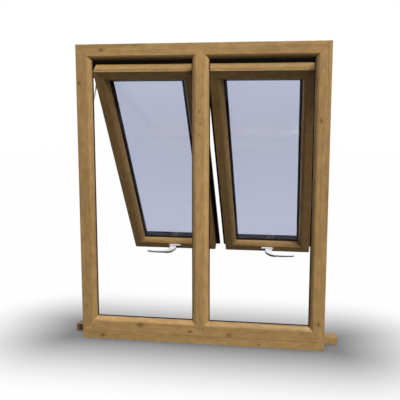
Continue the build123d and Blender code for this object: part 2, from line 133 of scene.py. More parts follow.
class TimberSettings(bpy.types.PropertyGroup):
    early_wood: FloatVectorProperty(
        name="Early wood", description="Stained colour of the soft wood between the growth rings",
        subtype="COLOR", size=3, min=0, max=1, default=(0.43, 0.262, 0.098),
    )
    late_wood: FloatVectorProperty(
        name="Late wood", description="Stained colour of the hard line that ends each growth ring",
        subtype="COLOR", size=3, min=0, max=1, default=(0.27, 0.150, 0.050),
    )
    knot_wood: FloatVectorProperty(
        name="Knots", description="Stained colour of the knots",
        subtype="COLOR", size=3, min=0, max=1, default=(0.12, 0.055, 0.020),
    )
    ring_spacing: FloatProperty(
        name="Ring spacing", description="Thickness of one growth ring",
        unit="LENGTH", min=0.001, max=0.02, default=0.0046,
    )
    varnish: FloatProperty(
        name="Varnish", description="How glossy it is, from 0 for oiled to 1 for full gloss",
        subtype="FACTOR", min=0, max=1, default=0.22,
    )


class GlassSettings(bpy.types.PropertyGroup):
    tint: FloatVectorProperty(
        name="Glass tint", description="Colour that one pane gives to light passing through it",
        subtype="COLOR", size=3, min=0, max=1, default=(0.70, 0.722, 0.815),
    )
    seal: FloatVectorProperty(
        name="Seals", description="Colour of the rubber seals",
        subtype="COLOR", size=3, min=0, max=1, default=(0.007, 0.007, 0.008),
    )
    spacer: FloatVectorProperty(
        name="Spacers", description="Colour of the bars between the panes",
        subtype="COLOR", size=3, min=0, max=1, default=(0.008, 0.008, 0.016),
    )


class MetalSettings(bpy.types.PropertyGroup):
    enamel: FloatVectorProperty(
        name="Handle enamel", description="Colour of the painted handles",
        subtype="COLOR", size=3, min=0, max=1, default=(0.70, 0.70, 0.72),
    )
    # Painted shade: black on the levers' undersides. The same black makes a patch on each plate
    # beside the lever's neck
    handle_black: FloatVectorProperty(
        name="Handle grip", description="Colour of the rubber on the underside of the handles",
        subtype="COLOR", size=3, min=0, max=1, default=(0.012, 0.012, 0.013),
    )
    steel: FloatVectorProperty(
        name="Stay steel", description="Colour of the stays, bolts, keeps and screws",
        subtype="COLOR", size=3, min=0, max=1, default=(0.56, 0.555, 0.54),
    )
    screw_radius: FloatProperty(
        name="Screw head", description="Radius of the countersunk screw heads",
        unit="LENGTH", min=0.001, max=0.006, default=0.0034,
    )


class StudioSettings(bpy.types.PropertyGroup):
    floor: FloatVectorProperty(
        name="Floor", description="Colour of the pale studio floor",
        subtype="COLOR", size=3, min=0, max=1, default=(1.0, 1.0, 1.0),
    )
    key_strength: FloatProperty(
        name="Main light",
        description="Strength of the far, soft light above and to the right of the camera",
        min=0, default=3.3,
    )
    top_power: FloatProperty(
        name="Top lamp", description="Power of the broad lamp over the window",
        unit="POWER", min=0, default=38,
    )
    back_power: FloatProperty(
        name="Back lamp", description="Power of the soft lamp on the outdoor side",
        unit="POWER", min=0, default=40,
    )
    ambient: FloatProperty(
        name="Room light", description="Strength of the even light from all round",
        min=0, default=0.2,
    )


# ---- Recipes for the finishes ----


class Finish:
    """A material whose node tree is built one step at a time."""

    def __init__(self, name):
        self.material = bpy.data.materials.new(name)
        self.material.use_nodes = True
        self.tree = self.material.node_tree
        self.shader = self.tree.nodes["Principled BSDF"]
        self.object_point = self.add("ShaderNodeTexCoord").outputs["Object"]

    def add(self, kind, values=(), **settings):
        step = self.tree.nodes.new(kind)
        for key, value in settings.items():
            setattr(step, key, value)
        for socket, value in dict(values).items():
            self.feed(step.inputs[socket], value)
        return step

    def feed(self, socket, value):
        if isinstance(value, bpy.types.NodeSocket):
            self.tree.links.new(value, socket)
        elif value is not None:
            socket.default_value = value

    def maths(self, operation, first, second=None, third=None):
        return self.add(
            "ShaderNodeMath", {0: first, 1: second, 2: third}, operation=operation
        ).outputs[0]

    def vector(self, operation, first, second=None):
        step = self.add("ShaderNodeVectorMath", {0: first, 1: second}, operation=operation)
        return step.outputs["Value" if operation in ("LENGTH", "DOT_PRODUCT") else "Vector"]

    def parts(self, point):
        return self.add("ShaderNodeSeparateXYZ", {0: point}).outputs

    def point(self, x, y, z):
        return self.add("ShaderNodeCombineXYZ", {0: x, 1: y, 2: z}).outputs[0]

    def noise(self, point, scale, detail=2.0, roughness=0.5):
        values = {"Vector": point, "Scale": scale, "Detail": detail, "Roughness": roughness}
        return self.add("ShaderNodeTexNoise", values).outputs["Fac"]

    def remap(self, value, low, high, to_low=0.0, to_high=1.0):
        values = {
            "Value": value, "From Min": low, "From Max": high, "To Min": to_low, "To Max": to_high,
        }
        return self.add("ShaderNodeMapRange", values, interpolation_type="SMOOTHSTEP").outputs[0]

    def mix(self, share, first, second):
        values = {0: share, 6: first, 7: second}
        return self.add("ShaderNodeMix", values, data_type="RGBA").outputs[2]

    def choose(self, share, first, second):
        values = {0: share, 4: first, 5: second}
        return self.add("ShaderNodeMix", values, data_type="VECTOR").outputs[1]

    def facing(self, way):
        """How squarely the surface faces one way."""
        normal = self.add("ShaderNodeTexCoord").outputs["Normal"]
        return self.vector("DOT_PRODUCT", normal, tuple(way))

    def local(self, origin, axes):
        """The point in a board's own axes, whose third one runs along the grain."""
        turn = Matrix(axes).transposed().to_euler("XYZ")
        values = {"Vector": self.object_point, "Location": origin, "Rotation": turn}
        return self.add("ShaderNodeMapping", values, vector_type="TEXTURE").outputs[0]

    def bump(self, height, distance, strength=0.6):
        values = {"Height": height, "Distance": distance, "Strength": strength}
        self.feed(self.shader.inputs["Normal"], self.add("ShaderNodeBump", values).outputs[0])

    def set(self, **values):
        for socket, value in values.items():
            self.feed(self.shader.inputs[socket.replace("_", " ")], value)


def colour(values, share=1.0):
    return (*(value * share for value in values), 1.0)


def knot_shares(wood, point, knots):
    """Each knot stands through the board: its dark body, its heart, and the grain that swells."""
    body = heart = swirl = None
    for along, across, size in knots:
        away_from = wood.vector("SUBTRACT", point, (across, 0, along))
        away_from = wood.vector("MULTIPLY", away_from, (1, 0, 0.72))
        ragged = wood.maths("MULTIPLY_ADD", wood.noise(point, 150, 3), size * 2.4, -size * 1.2)
        distance = wood.maths("ADD", wood.vector("LENGTH", away_from), ragged)
        shares = (
            wood.remap(distance, size * 0.15, size * 1.9, 1, 0),
            wood.remap(distance, 0, size * 0.7, 1, 0),
            wood.remap(distance, 0, size * 4.5, 1, 0),
        )
        if body is None:
            body, heart, swirl = shares
        else:
            body = wood.maths("MAXIMUM", body, shares[0])
            heart = wood.maths("MAXIMUM", heart, shares[1])
            swirl = wood.maths("ADD", swirl, shares[2])
    return body, heart, swirl


def timber(name, seed, local_point, mitres=None, knots=(), tone=1.0, grain_way=None, depth=None):
    """Stained, satin-varnished softwood: growth rings about a pith outside the board, and knots."""
    settings = bpy.context.scene.stormproof_timber
    chance = random.Random(seed)
    wood = Finish(name)
    point = local_point(wood)
    x, y, z = wood.parts(point)

    # The pith lies outside the board, and leans a little, so the rings run out of the faces
    angle = chance.uniform(0, 2 * math.pi)
    away = chance.uniform(0.05, 0.11)
    lean = (chance.uniform(-0.02, 0.02), chance.uniform(-0.02, 0.02))
    pith_x = wood.maths("MULTIPLY_ADD", z, lean[0], away * math.cos(angle))
    pith_y = wood.maths("MULTIPLY_ADD", z, lean[1], away * math.sin(angle))
    shift = chance.uniform(0, 40)
    slow = wood.vector("ADD", wood.vector("MULTIPLY", point, (1, 1, 0.10)), (shift, shift, shift))
    fine = wood.vector("ADD", wood.vector("MULTIPLY", point, (1, 1, 0.012)), (shift, 0, shift))
    ring_x = wood.maths("ADD", x, pith_x)
    ring_y = wood.maths("ADD", y, pith_y)
    radius = wood.vector("LENGTH", wood.point(ring_x, ring_y, 0.0))

    knot, heart, swirl = knot_shares(wood, point, knots)

    # Growth rings, counted outwards from the pith
    wander = wood.noise(slow, 14, 3, 0.55)
    count = wood.maths("DIVIDE", radius, settings.ring_spacing)
    count = wood.maths("MULTIPLY_ADD", wander, 3.2, count)
    if swirl is not None:
        count = wood.maths("MULTIPLY_ADD", swirl, 3.5, count)
    ring = wood.maths("FRACT", count)
    late = wood.maths(
        "MULTIPLY", wood.remap(ring, 0.35, 0.93), wood.remap(ring, 0.95, 1.0, 1, 0)
    )
    fibre = wood.noise(fine, 900, 3, 0.6)
    streak = wood.noise(fine, 170, 2, 0.5)
    patch = wood.noise(slow, 6, 2, 0.5)

    strength = wood.remap(wood.noise(slow, 22, 1), 0.25, 0.75, 0.10, 0.55)
    share = wood.maths("MULTIPLY", late, strength)
    stain = wood.mix(share, colour(settings.early_wood, tone), colour(settings.late_wood, tone))
    mottle = wood.noise(wood.vector("MULTIPLY", slow, (1, 1, 4)), 55, 4, 0.65)
    brightness = wood.remap(patch, 0.3, 0.7, 0.84, 1.06)
    for layer in (
        wood.remap(streak, 0.3, 0.7, -0.05, 0.05),
        wood.remap(mottle, 0.35, 0.65, -0.11, 0.10),
        wood.remap(fibre, 0.25, 0.75, -0.06, 0.05),
    ):
        brightness = wood.maths("ADD", brightness, layer)
    if knot is not None:
        rim = wood.mix(heart, colour(settings.knot_wood, 1.25), colour(settings.knot_wood, 2.1))
        stain = wood.mix(wood.maths("MULTIPLY", knot, 0.7), stain, rim)
        halo = wood.maths("MULTIPLY", swirl, wood.maths("ADD", mottle, 0.5))
        brightness = wood.maths("ADD", brightness, wood.remap(halo, 0.3, 1.1, 0.0, -0.16))

    # End grain drinks more stain, mitres show as a fine dark line, and painted light and shade make
    # parts of some boards paler and darker
    if grain_way is not None:
        end = wood.maths("ABSOLUTE", wood.facing(grain_way))
        brightness = wood.maths("MULTIPLY", brightness, wood.remap(end, 0.75, 0.97, 1, 0.55))
    if mitres is not None:
        line = wood.remap(mitres(wood, x, y, z), 0.0002, 0.0009, 0.66, 1)
        brightness = wood.maths("MULTIPLY", brightness, line)
    if depth is not None:
        brightness = wood.maths("MULTIPLY", brightness, depth(wood, x, y))
    shade = wood.vector("SCALE", stain)
    wood.feed(shade.node.inputs["Scale"], brightness)

    # Pigment sits in the pores, and the varnish follows the raised late wood
    wood.set(
        Base_Color=shade,
        Roughness=wood.remap(fibre, 0.3, 0.7, 0.40, 0.54),
        Coat_Weight=settings.varnish,
        Coat_Roughness=0.22,
        Specular_IOR_Level=0.35,
    )
    height = wood.maths("MULTIPLY_ADD", late, 0.5, wood.maths("MULTIPLY", fibre, 0.8))
    wood.bump(height, 0.00035, 0.55)
    return wood.material


def straight_mitres(start_slope, end_slope, length, both_sides=False):
    """How far a point is from a member's two mitred joints, taking them as 45 degrees."""

    def distance(wood, x, y, z):
        across = wood.maths("ABSOLUTE", x) if both_sides else x
        start = wood.maths("MULTIPLY_ADD", across, -start_slope, z)
        end = wood.maths("SUBTRACT", length, wood.maths("MULTIPLY_ADD", across, end_slope, z))
        nearer = wood.maths("MINIMUM", wood.maths("ABSOLUTE", start), wood.maths("ABSOLUTE", end))
        return wood.maths("MULTIPLY", nearer, 0.71)

    return distance


def member(name, seed, start, inward, outward, **more):
    """Timber for one straight member, its grain along its length."""
    along = inward.cross(outward)
    axes = (inward, outward, along)
    return timber(name, seed, lambda wood: wood.local(start, axes), grain_way=along, **more)


def rubber(name, black, shine, gloss=0.12):
    """Moulded black rubber with a faint bloom."""
    moulded = Finish(name)
    bloom = moulded.noise(moulded.object_point, 40, 3)
    grain = moulded.noise(moulded.object_point, 1400, 2)
    share = moulded.remap(bloom, 0.35, 0.75, 0, 0.5)
    moulded.set(
        Base_Color=moulded.mix(share, colour(black), colour(black, 2.5)),
        Roughness=moulded.remap(bloom, 0.3, 0.7, shine, shine + 0.18),
        Specular_IOR_Level=gloss,
    )
    moulded.bump(grain, 0.0001, 0.5)
    return moulded.material


def glass(name, seed):
    """Float glass with a slight tint and a faint roller wave."""
    settings = bpy.context.scene.stormproof_glass
    sheet = Finish(name)
    wave = sheet.noise(sheet.vector("ADD", sheet.object_point, (seed, 0, 0)), 3.5, 1)
    smear = sheet.noise(sheet.object_point, 9, 4, 0.6)
    sheet.set(
        Base_Color=sheet.mix(smear, colour(settings.tint, 0.985), colour(settings.tint, 1.015)),
        Roughness=sheet.remap(smear, 0.45, 0.8, 0.0, 0.035),
        Transmission_Weight=1.0,
        IOR=1.5,
    )
    sheet.bump(wave, 0.0004, 0.3)
    return sheet.material


def enamel(name, blackened):
    """Gloss white powder coating with a trace of orange peel, painted black where the given mask
    says: shade on a lever, a patch on a plate.
    """
    settings = bpy.context.scene.stormproof_metal
    coat = Finish(name)
    peel = coat.noise(coat.object_point, 520, 2)
    patch = coat.noise(coat.object_point, 35, 3)
    white = coat.mix(patch, colour(settings.enamel, 0.96), colour(settings.enamel, 1.02))
    share = blackened(coat)
    coat.set(
        Base_Color=coat.mix(share, white, colour(settings.handle_black)),
        Roughness=coat.maths("MULTIPLY_ADD", share, 0.3, coat.remap(patch, 0.3, 0.7, 0.24, 0.34)),
        Coat_Weight=coat.remap(share, 0.0, 1.0, 0.4, 0.0),
        Coat_Roughness=0.08,
    )
    coat.bump(peel, 0.00012, 0.4)
    return coat.material


def brushed_steel(name, grain_way, shade=1.0, metal=1.0):
    """Zinc-plated steel, brushed along one direction; a dull plating is less of a metal."""
    settings = bpy.context.scene.stormproof_metal
    side = grain_way.orthogonal().normalized()
    axes = (side, grain_way.cross(side), grain_way)
    plate = Finish(name)
    point = plate.local((0, 0, 0), axes)
    brushing = plate.noise(plate.vector("MULTIPLY", point, (1, 1, 0.02)), 2200, 2, 0.6)
    patch = plate.noise(point, 60, 3)
    dull, bright = (colour(settings.steel, level * shade) for level in (0.82, 1.12))
    rough, worn = plate.remap(brushing, 0.3, 0.7, 0.26, 0.40), plate.remap(patch, 0.4, 0.8, 0, 0.12)
    plate.set(
        Base_Color=plate.mix(patch, dull, bright),
        Metallic=metal,
        Roughness=plate.maths("ADD", rough, worn),
    )
    plate.bump(brushing, 0.00008, 0.4)
    return plate.material


def finish_node(name, material):
    """Gives a CAD node its finish."""
    node = frame["nodes"][name]
    for slot in node.material_slots:
        slot.material = material


# ---- Mesh helpers ----


def sash_point(side, across, height, depth):
    """A point on an open sash, from its middle, bottom edge and room face."""
    foot = SPINDLES[side] - SASH_UP * SPINDLE_HEIGHT
    return foot + RIGHT * across + SASH_UP * height + SASH_OUT * depth


def new_piece(name, mesh_builder, material, body, smooth=30):
    """Turns a finished bmesh into an object that rides on a CAD body."""
    bmesh.ops.remove_doubles(mesh_builder, verts=mesh_builder.verts, dist=1e-7)
    bmesh.ops.recalc_face_normals(mesh_builder, faces=mesh_builder.faces)
    mesh = bpy.data.meshes.new(name)
    mesh_builder.to_mesh(mesh)
    mesh_builder.free()
    for face in mesh.polygons:
        face.use_smooth = True
    mesh.set_sharp_from_angle(angle=math.radians(smooth))
    mesh.materials.append(material)
    piece = bpy.data.objects.new(name, mesh)
    bpy.context.scene.collection.objects.link(piece)
    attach(piece, body)
    return piece


def turned(builder, place, normal, profile, segments=24, cross=0.0, cross_depth=0.0, twist=0.0):
    """Adds a turned shape: profile is (radius, height) pairs from its top's centre to its foot."""
    side = normal.orthogonal().normalized()
    side = Matrix.Rotation(twist, 3, normal) @ side
    other = normal.cross(side)
    rings = []
    for radius, height in profile:
        if radius == 0:
            low = cross_depth if cross and not rings else 0
            rings.append([builder.verts.new(place + normal * (height - low))])
            continue
        ring = []
        for i in range(segments):
            angle = 2 * math.pi * i / segments
            u, v = radius * math.cos(angle), radius * math.sin(angle)
            on_cap = cross and len(rings) < 5 and radius < 3.2 * cross
            inside = on_cap and min(abs(u), abs(v)) < cross
            low = cross_depth * (1 - radius / (3.4 * cross)) if inside else 0
            ring.append(builder.verts.new(place + side * u + other * v + normal * (height - low)))
        rings.append(ring)
    for first, second in zip(rings, rings[1:]):
        for i in range(segments):
            j = (i + 1) % segments
            places = ((first, i), (first, j), (second, j), (second, i))
            corners = [ring[k % len(ring)] for ring, k in places]
            builder.faces.new(list(dict.fromkeys(corners)))


def screw_head(builder, place, normal, radius, twist):
    """A countersunk head with a cross recess, let in flush."""
    profile = [
        (0, 0.10), (0.12, 0.10), (0.24, 0.10), (0.38, 0.095), (0.52, 0.09), (0.70, 0.08),
        (0.86, 0.06), (0.96, 0.03), (1.0, -0.03), (0.9, -0.14), (0.5, -0.5), (0, -0.52),
    ]
    scaled = [(r * radius, h * radius) for r, h in profile]
    slot, deep = radius * 0.17, radius * 0.55
    turned(builder, place, normal, scaled, cross=slot, cross_depth=deep, twist=twist)


def rivet_head(builder, place, normal, radius, height):
    """A low domed rivet head."""
    steps = 6
    dome = [
        (radius * math.sin(math.pi / 2 * i / steps), height * math.cos(math.pi / 2 * i / steps))
        for i in range(steps + 1)
    ]
    turned(builder, place, normal, [*dome, (radius, -height * 0.3), (0, -height * 0.3)])


def loop_fillet(builder, side, section, foot=0.0):
    """Sweeps a small section round a sash's sight line: section is (inward, depth) pairs.

    Along the bottom, the section's inner points stand higher by the foot.
    """
    rings = []
    for inward, depth in section:
        half = SASH_WIDTH / 2 - SASH_SIGHT - inward
        low, high = SASH_SIGHT + inward, SASH_HEIGHT - SASH_SIGHT - inward
        low += foot if inward > 0.001 else 0
        corners = ((-half, low), (half, low), (half, high), (-half, high))
        rings.append([builder.verts.new(sash_point(side, a, h, depth)) for a, h in corners])
    for first, second in zip(rings, rings[1:] + rings[:1]):
        for i in range(4):
            j = (i + 1) % 4
            builder.faces.new((first[i], first[j], second[j], second[i]))


def stay_pivots(side, seat):
    """A stay arm's fixed and moving pivots at X = 0: the arm fits the sash both shut and open."""
    shut = Vector((0, SHUT_DEPTH + STAY_DEPTH, SHUT_TOP - seat))
    moved = sash_point(side, 0, SASH_HEIGHT - seat, STAY_DEPTH)
    moved.x = 0
    swing = moved.y - shut.y
    fixed_height = (shut.z**2 - moved.z**2 - swing**2) / (2 * (shut.z - moved.z))
    return Vector((0, shut.y, fixed_height)), moved


def stay_walls():
    """Each stay's sash and name, the X of the wall that carries it, and the way to the sash."""
    for name, side in SIDES.items():
        outer = side * (FRAME_HIGH.x - FRAME_FLAT)
        yield name, f"{name}_outer_stay", outer, -side
        yield name, f"{name}_inner_stay", side * MULLION_HALF, side


# ---- Operators ----


class STORMPROOF_OT_stain_frame(bpy.types.Operator):
    """Stain and varnish the head, jambs, mullion, bottom rail and sill"""

    bl_idname = "stormproof.stain_frame"
    bl_label = "Stain the Frame"

    def execute(self, context):
        low, high = FRAME_LOW, FRAME_HIGH
        width, rise = high.x - low.x, high.z - low.z
        slope = RAIL_FLAT / FRAME_FLAT
        flank = -MULLION_HALF - MOULDING_DEPTH
        frame["nodes"]["head"].visible_shadow = False
        finish_node("head", member(
            "Head Timber", 3, Vector((low.x, low.y, high.z)), -UP, OUT,
            mitres=straight_mitres(1, 1, width), knots=[(0.111, 0.024, 0.0052)], tone=1.0,
            # Painted shade: the head's moulding is painted darker towards its nose, down to a
            # quarter of its tone
            depth=lambda wood, x, y: wood.remap(
                y, MOULDING_DEPTH * 0.45, MOULDING_DEPTH * 0.8, 1, 0.25
            ),
        ))
        finish_node("right_jamb", member(
            "Right Jamb Timber", 8, Vector((high.x, low.y, high.z)), -RIGHT, OUT,
            mitres=straight_mitres(1, slope, rise), tone=0.97,
            knots=[(0.311, 0.038, 0.0055), (1.150, 0.025, 0.0060)],
        ))
        finish_node("bottom_rail", member(
            "Bottom Rail Timber", 21, Vector((high.x, low.y, low.z)), UP, OUT,
            mitres=straight_mitres(1 / slope, 1 / slope, width), tone=1.0,
            knots=[
                (0.786, 0.035, 0.0085), (0.566, 0.016, 0.0052),
                (0.518, 0.036, 0.0050), (0.398, 0.012, 0.0070),
            ],
        ))
        finish_node("left_jamb", member(
            "Left Jamb Timber", 14, Vector((low.x, low.y, low.z)), RIGHT, OUT,
            mitres=straight_mitres(slope, 1, rise), knots=[(1.070, 0.013, 0.0048)], tone=0.99,
        ))
        post_low, post_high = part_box("mullion")
        finish_node("mullion", member(
            "Mullion Timber", 5, Vector((0, post_low.y, post_low.z)), RIGHT, OUT,
            mitres=straight_mitres(1, 1, post_high.z - post_low.z, both_sides=True), tone=1.0,
            knots=[(0.924, -0.004, 0.0034), (0.875, 0.002, 0.0028), (0.831, -0.003, 0.0030)],
            # Painted light: the mullion's left moulding, in shade from the main light, is painted
            # up to nearly twice as pale, and the rest a touch paler
            depth=lambda wood, x, y: wood.remap(x, flank, -MULLION_HALF, 1.9, 1.05),
        ))
        sill_low, sill_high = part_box("sill")
        finish_node("sill", member(
            "Sill Timber", 33, Vector((sill_high.x, sill_low.y, 0)), UP, OUT,
            knots=[(1.0102, 0.017, 0.0058), (0.33, 0.012, 0.0045)], tone=0.97,
        ))
        return {"FINISHED"}


class STORMPROOF_OT_stain_sashes(bpy.types.Operator):
    """Stain and varnish the sash rails, stiles and glazing beads"""

    bl_idname = "stormproof.stain_sashes"
    bl_label = "Stain the Sashes"

    def execute(self, context):
        half = SASH_WIDTH / 2
        for number, (name, side) in enumerate(SIDES.items()):
            title = name.capitalize()
            left = "outer_stile" if side < 0 else "inner_stile"
            right = "inner_stile" if side < 0 else "outer_stile"
            wide = straight_mitres(1, 1, SASH_WIDTH)
            tall = straight_mitres(1, 1, SASH_HEIGHT)
            members = {
                "top_rail": (sash_point(name, -half, SASH_HEIGHT, 0), -SASH_UP, wide),
                "bottom_rail": (sash_point(name, half, 0, 0), SASH_UP, wide),
                left: (sash_point(name, -half, 0, 0), RIGHT, tall),
                right: (sash_point(name, half, SASH_HEIGHT, 0), -RIGHT, tall),
            }
            for step, (part, (start, inward, mitres)) in enumerate(members.items()):
                # Painted light and shade: the top rails are painted darker, standing in for the
                # head's shadow, and the bottom rails paler, as if more brightly lit
                tone = {"top_rail": 0.86, "bottom_rail": 1.1}.get(part, 0.98)
                # Painted shade: the moulded edge of the left sash's inner stile is painted darker
                edge = 0.62 if name == "left" and part == "inner_stile" else 1.0
                label = f"{title} Sash {part.replace('_', ' ').title()} Timber"
                finish_node(f"{name}_sash_{part}", member(
                    label, 40 + 7 * number + step, start, inward, SASH_OUT,
                    mitres=mitres, tone=tone, depth=self.painted_stile_light(part, edge),
                ))
            finish_node(f"{name}_glazing_bead", self.bead_timber(name, title, 70 + number))
        self.plug_hole()
        return {"FINISHED"}

    def painted_stile_light(self, part, edge):
        """Painted light and shade on a stile: its flat is painted paler than its moulded edge,
        which the left sash's inner stile has painted darker still.
        """
        if "stile" not in part:
            return None
        return lambda wood, x, y: wood.remap(x, SASH_FLAT - 0.001, SASH_FLAT + 0.001, 1.28, edge)

    def plug_hole(self):
        """The pale wooden plug in the left sash's top rail, near its inner end."""
        place = sash_point("left", *PLUG_PLACE, 0)
        pale = member("Plug Timber", 90, place, RIGHT, SASH_OUT, tone=2.3)
        builder = bmesh.new()
        turned(builder, place, -SASH_OUT, PLUG_PROFILE)
        new_piece("left_sash_plug", builder, pale, "window", 40)

    def bead_timber(self, name, title, seed):
        """Timber whose grain turns the corner with the bead's four mitred lengths."""
        half_width = SASH_WIDTH / 2 - SASH_REBATE
        half_height = SASH_HEIGHT / 2 - SASH_REBATE
        centre = sash_point(name, 0, SASH_HEIGHT / 2, 0)

        def corner_gap(wood, x, z):
            beside = wood.maths("SUBTRACT", wood.maths("ABSOLUTE", x), half_width)
            above = wood.maths("SUBTRACT", wood.maths("ABSOLUTE", z), half_height)
            return wood.maths("SUBTRACT", above, beside)

        def point(wood):
            upright = wood.local(centre, (RIGHT, SASH_OUT, SASH_UP))
            x, y, z = wood.parts(upright)
            level = wood.maths("GREATER_THAN", corner_gap(wood, x, z), 0)
            return wood.choose(level, upright, wood.point(z, y, x))

        def mitres(wood, x, y, z):
            upright = wood.local(centre, (RIGHT, SASH_OUT, SASH_UP))
            across, _, height = wood.parts(upright)
            return wood.maths("ABSOLUTE", corner_gap(wood, across, height))

        # Painted shade: tone 0.32 paints the beads dark, standing in for the shadow of the glass,
        # which casts none
        return timber(f"{title} Glazing Bead Timber", seed, point, mitres=mitres, tone=0.32)


class STORMPROOF_OT_fit_seals(bpy.types.Operator):
    """Give the frame seals, sash seals and spacers their rubber"""

    bl_idname = "stormproof.fit_seals"
    bl_label = "Fit the Seals"

    def execute(self, context):
        settings = context.scene.stormproof_glass
        seal = rubber("Seal Rubber", settings.seal, 0.5)
        spacer = rubber("Spacer Foam", settings.spacer, 0.6, 0.0)
        for name in SIDES:
            finish_node(f"{name}_frame_seal", seal)
            finish_node(f"{name}_sash_seal", seal)
            finish_node(f"{name}_spacer", spacer)
        return {"FINISHED"}


class STORMPROOF_OT_glaze(bpy.types.Operator):
    """Put the tinted glass in, and run black glazing sealant round both of its faces"""

    bl_idname = "stormproof.glaze"
    bl_label = "Glaze the Sashes"

    def execute(self, context):
        sealant = rubber("Glazing Sealant", context.scene.stormproof_glass.seal, 0.4)
        inner, outer = GLASS_FACES
        for number, name in enumerate(SIDES):
            title = name.capitalize()
            for place in ("inner", "outer"):
                pane = frame["nodes"][f"{name}_{place}_pane"]
                finish_node(pane.name, glass(f"{title} {place.capitalize()} Glass", 3.1 * number))
                pane.visible_shadow = False
            for place, face, way, foot in (
                ("room", inner, -1, 0.0), ("outdoor", outer, 1, FOOT_TAPE_RISE),
            ):
                builder = bmesh.new()
                section = [(inward, face + way * proud) for inward, proud in SEALANT_SECTION]
                loop_fillet(builder, name, section, foot)
                new_piece(f"{name}_{place}_glazing_sealant", builder, sealant, "window", 40)
        return {"FINISHED"}


class STORMPROOF_OT_paint_handles(bpy.types.Operator):
    """Paint the handle plates and levers gloss white"""

    bl_idname = "stormproof.paint_handles"
    bl_label = "Paint the Handles"

    def execute(self, context):
        lever = enamel("Lever Enamel", self.underside)
        for name, side in SIDES.items():
            centre = SPINDLES[name]

            def dark_plate_patch(coat):
                """Black on the plate's lower part, beside the lever's neck on its inboard side."""
                x, _, z = coat.parts(coat.local(centre, (RIGHT, SASH_OUT, SASH_UP)))
                beside = coat.remap(coat.maths("MULTIPLY", x, -side), 0.0085, 0.0095)
                return coat.maths("MULTIPLY", beside, coat.remap(z, 0.0055, 0.0065, 1, 0))

            finish_node(f"{name}_handle_base", enamel(f"{name.capitalize()} Plate Enamel", dark_plate_patch))
            finish_node(f"{name}_handle_lever", lever)
        return {"FINISHED"}

    def underside(self, coat):
        """Painted shade: black on the lever's faces that turn down the sash, and on the lower part
        of the lever where it stands more than about 40 mm off the sash.
        """
        painted_underside_shade = coat.remap(coat.facing(-SASH_UP), 0.1, 0.22)
        _, depth, height = coat.parts(coat.local(SPINDLES["left"], (RIGHT, SASH_OUT, SASH_UP)))
        edge = coat.remap(height, 0.0010, 0.0025, 1, 0)
        handle_black = coat.remap(depth, LEVER_DEPTH - 0.002, LEVER_DEPTH + 0.002, 1, 0)
        return coat.maths("MAXIMUM", painted_underside_shade, coat.maths("MULTIPLY", edge, handle_black))


class STORMPROOF_OT_finish_stays(bpy.types.Operator):
    """Brush the stays, bolt bars and keeps"""

    bl_idname = "stormproof.finish_stays"
    bl_label = "Finish the Stays"

    def execute(self, context):
        track = brushed_steel("Stay Track Steel", UP)
        bar = brushed_steel("Stay Bar Steel", SASH_UP)
        bolt = brushed_steel("Bolt Bar Steel", RIGHT, 0.95)
        fixed, moved = stay_pivots("left", ARM_SEATS[0])
        arm = brushed_steel("Stay Arm Steel", (moved - fixed).normalized(), 1.55, 0.3)
        for _, stay, _, _ in stay_walls():
            finish_node(f"{stay}_track", track)
            finish_node(f"{stay}_bar", bar)
            finish_node(f"{stay}_arms", arm)
        for name in ("left_bolt_bar", "right_bolt_bar", "keeps"):
            finish_node(name, bolt)
        return {"FINISHED"}


class STORMPROOF_OT_rivet_stays(bpy.types.Operator):
    """Close the rivets on which the stay arms turn"""

    bl_idname = "stormproof.rivet_stays"
    bl_label = "Rivet the Stays"

    def execute(self, context):
        steel = brushed_steel("Rivet Steel", RIGHT, 1.1)
        for name, stay, wall, toward in stay_walls():
            builder = bmesh.new()
            normal = RIGHT * toward
            for seat in ARM_SEATS:
                fixed, moved = stay_pivots(name, seat)
                near, far = (wall + toward * face for face in ARM_FACES)
                rivet_head(builder, fixed + RIGHT * far, normal, RIVET_RADIUS, RIVET_RISE)
                rivet_head(builder, moved + RIGHT * near, -normal, RIVET_RADIUS, RIVET_RISE)
            new_piece(f"{stay}_rivets", builder, steel, "window", 40)
        return {"FINISHED"}


